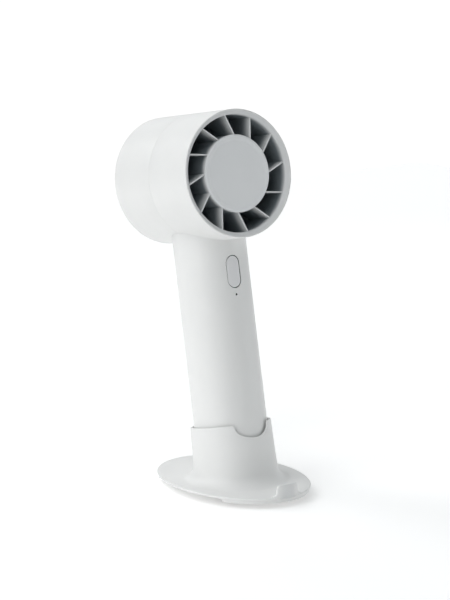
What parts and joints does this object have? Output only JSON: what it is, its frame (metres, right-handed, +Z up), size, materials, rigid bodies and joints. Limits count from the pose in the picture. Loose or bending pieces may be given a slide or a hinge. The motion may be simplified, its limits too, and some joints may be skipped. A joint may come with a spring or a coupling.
{
  "type": "handheld electric fan with charging stand",
  "caption": "Handheld electric fan with a cylindrical turbo head on a round handle, standing in the leaning cup of an oval charging stand.",
  "frame": {"origin": "on the surface it stands on, under the middle of the whole object's bounding box", "axes": "+Z up, air leaves towards -Y, the handle and head lean back towards +Y, X is across the oval base"},
  "size_m": [0.0708, 0.1156, 0.2011],
  "materials": {
    "shell_white": "fine matte moulded white ABS",
    "stand_white": "fine matte moulded white ABS",
    "cover_white": "matte white ABS",
    "grille_white": "matte white ABS",
    "button_white": "satin white ABS",
    "dark_plastic": "dark moulded plastic",
    "chassis_grey": "matte grey plastic",
    "black_plastic": "black moulded plastic",
    "rubber": "matte rubber",
    "steel": "brushed steel",
    "screw_steel": "zinc plated steel",
    "port_steel": "bright stamped steel",
    "mount_alu": "turned aluminium",
    "laminated": "stacked laminations",
    "magnet": "bonded magnet",
    "copper": "enamelled copper wire",
    "gold": "gold plated contact",
    "board": "green solder mask",
    "cell_wrap": "heat shrink sleeve",
    "wire_red": "insulated wire",
    "lens": "smoked clear lens",
    "ivory": "ivory connector plastic",
    "can": "capacitor can"
  },
  "bodies": {
    "stand": {"stand_shell": "stand_white", "bottom_cover": "cover_white", "ballast_plate": "steel", "rubber_feet": "rubber", "cover_screws": "screw_steel", "base_board": "board", "inlet_port": "port_steel", "pin_block": "black_plastic", "contact_pins": "gold", "pin_wires": "wire_red"},
    "fan": {"body_shell": "shell_white", "rear_shell": "shell_white", "intake_grille": "grille_white", "guide_vanes": "grille_white", "hub_sleeve": "grille_white", "hub_cap": "grille_white", "duct_liner": "dark_plastic", "stator_barrel": "dark_plastic", "stator_struts": "dark_plastic", "stator_vanes": "dark_plastic", "impeller_shroud": "dark_plastic", "motor_mount": "mount_alu", "bearings": "steel", "stator_core": "laminated", "windings": "copper", "motor_board": "board", "motor_screws": "screw_steel", "motor_plug": "ivory", "motor_wires": "wire_red", "end_cap": "shell_white", "charge_pads": "gold", "usb_port": "port_steel", "port_board": "board", "chassis": "chassis_grey", "battery_cell": "cell_wrap", "battery_tabs": "steel", "battery_wires": "wire_red", "main_board": "board", "board_screws": "screw_steel", "button_switch": "black_plastic", "status_led": "ivory", "light_pipe": "lens", "control_chip": "black_plastic", "power_inductor": "black_plastic", "capacitors": "can"},
    "rotor": {"impeller": "dark_plastic", "impeller_blades": "dark_plastic", "rotor_bell": "steel", "magnet_ring": "magnet", "shaft": "steel", "shaft_clip": "screw_steel"},
    "button": {"power_button": "button_white"}
  },
  "joints": [
    {"name": "fan_lift", "type": "slide", "parent": "stand", "child": "fan", "axis": [0, 0.1994, 0.9799], "range_m": [0, 0.08]},
    {"name": "rotor_spin", "type": "hinge", "parent": "fan", "child": "rotor", "pos_m": [0, 0.01948, 0.16169], "axis": [0, -0.9799, 0.1994], "continuous": true},
    {"name": "button_push", "type": "slide", "parent": "fan", "child": "button", "axis": [0, 0.9799, -0.1994], "range_m": [0, 0.0005], "stiffness_N_per_m": 1500}
  ]
}
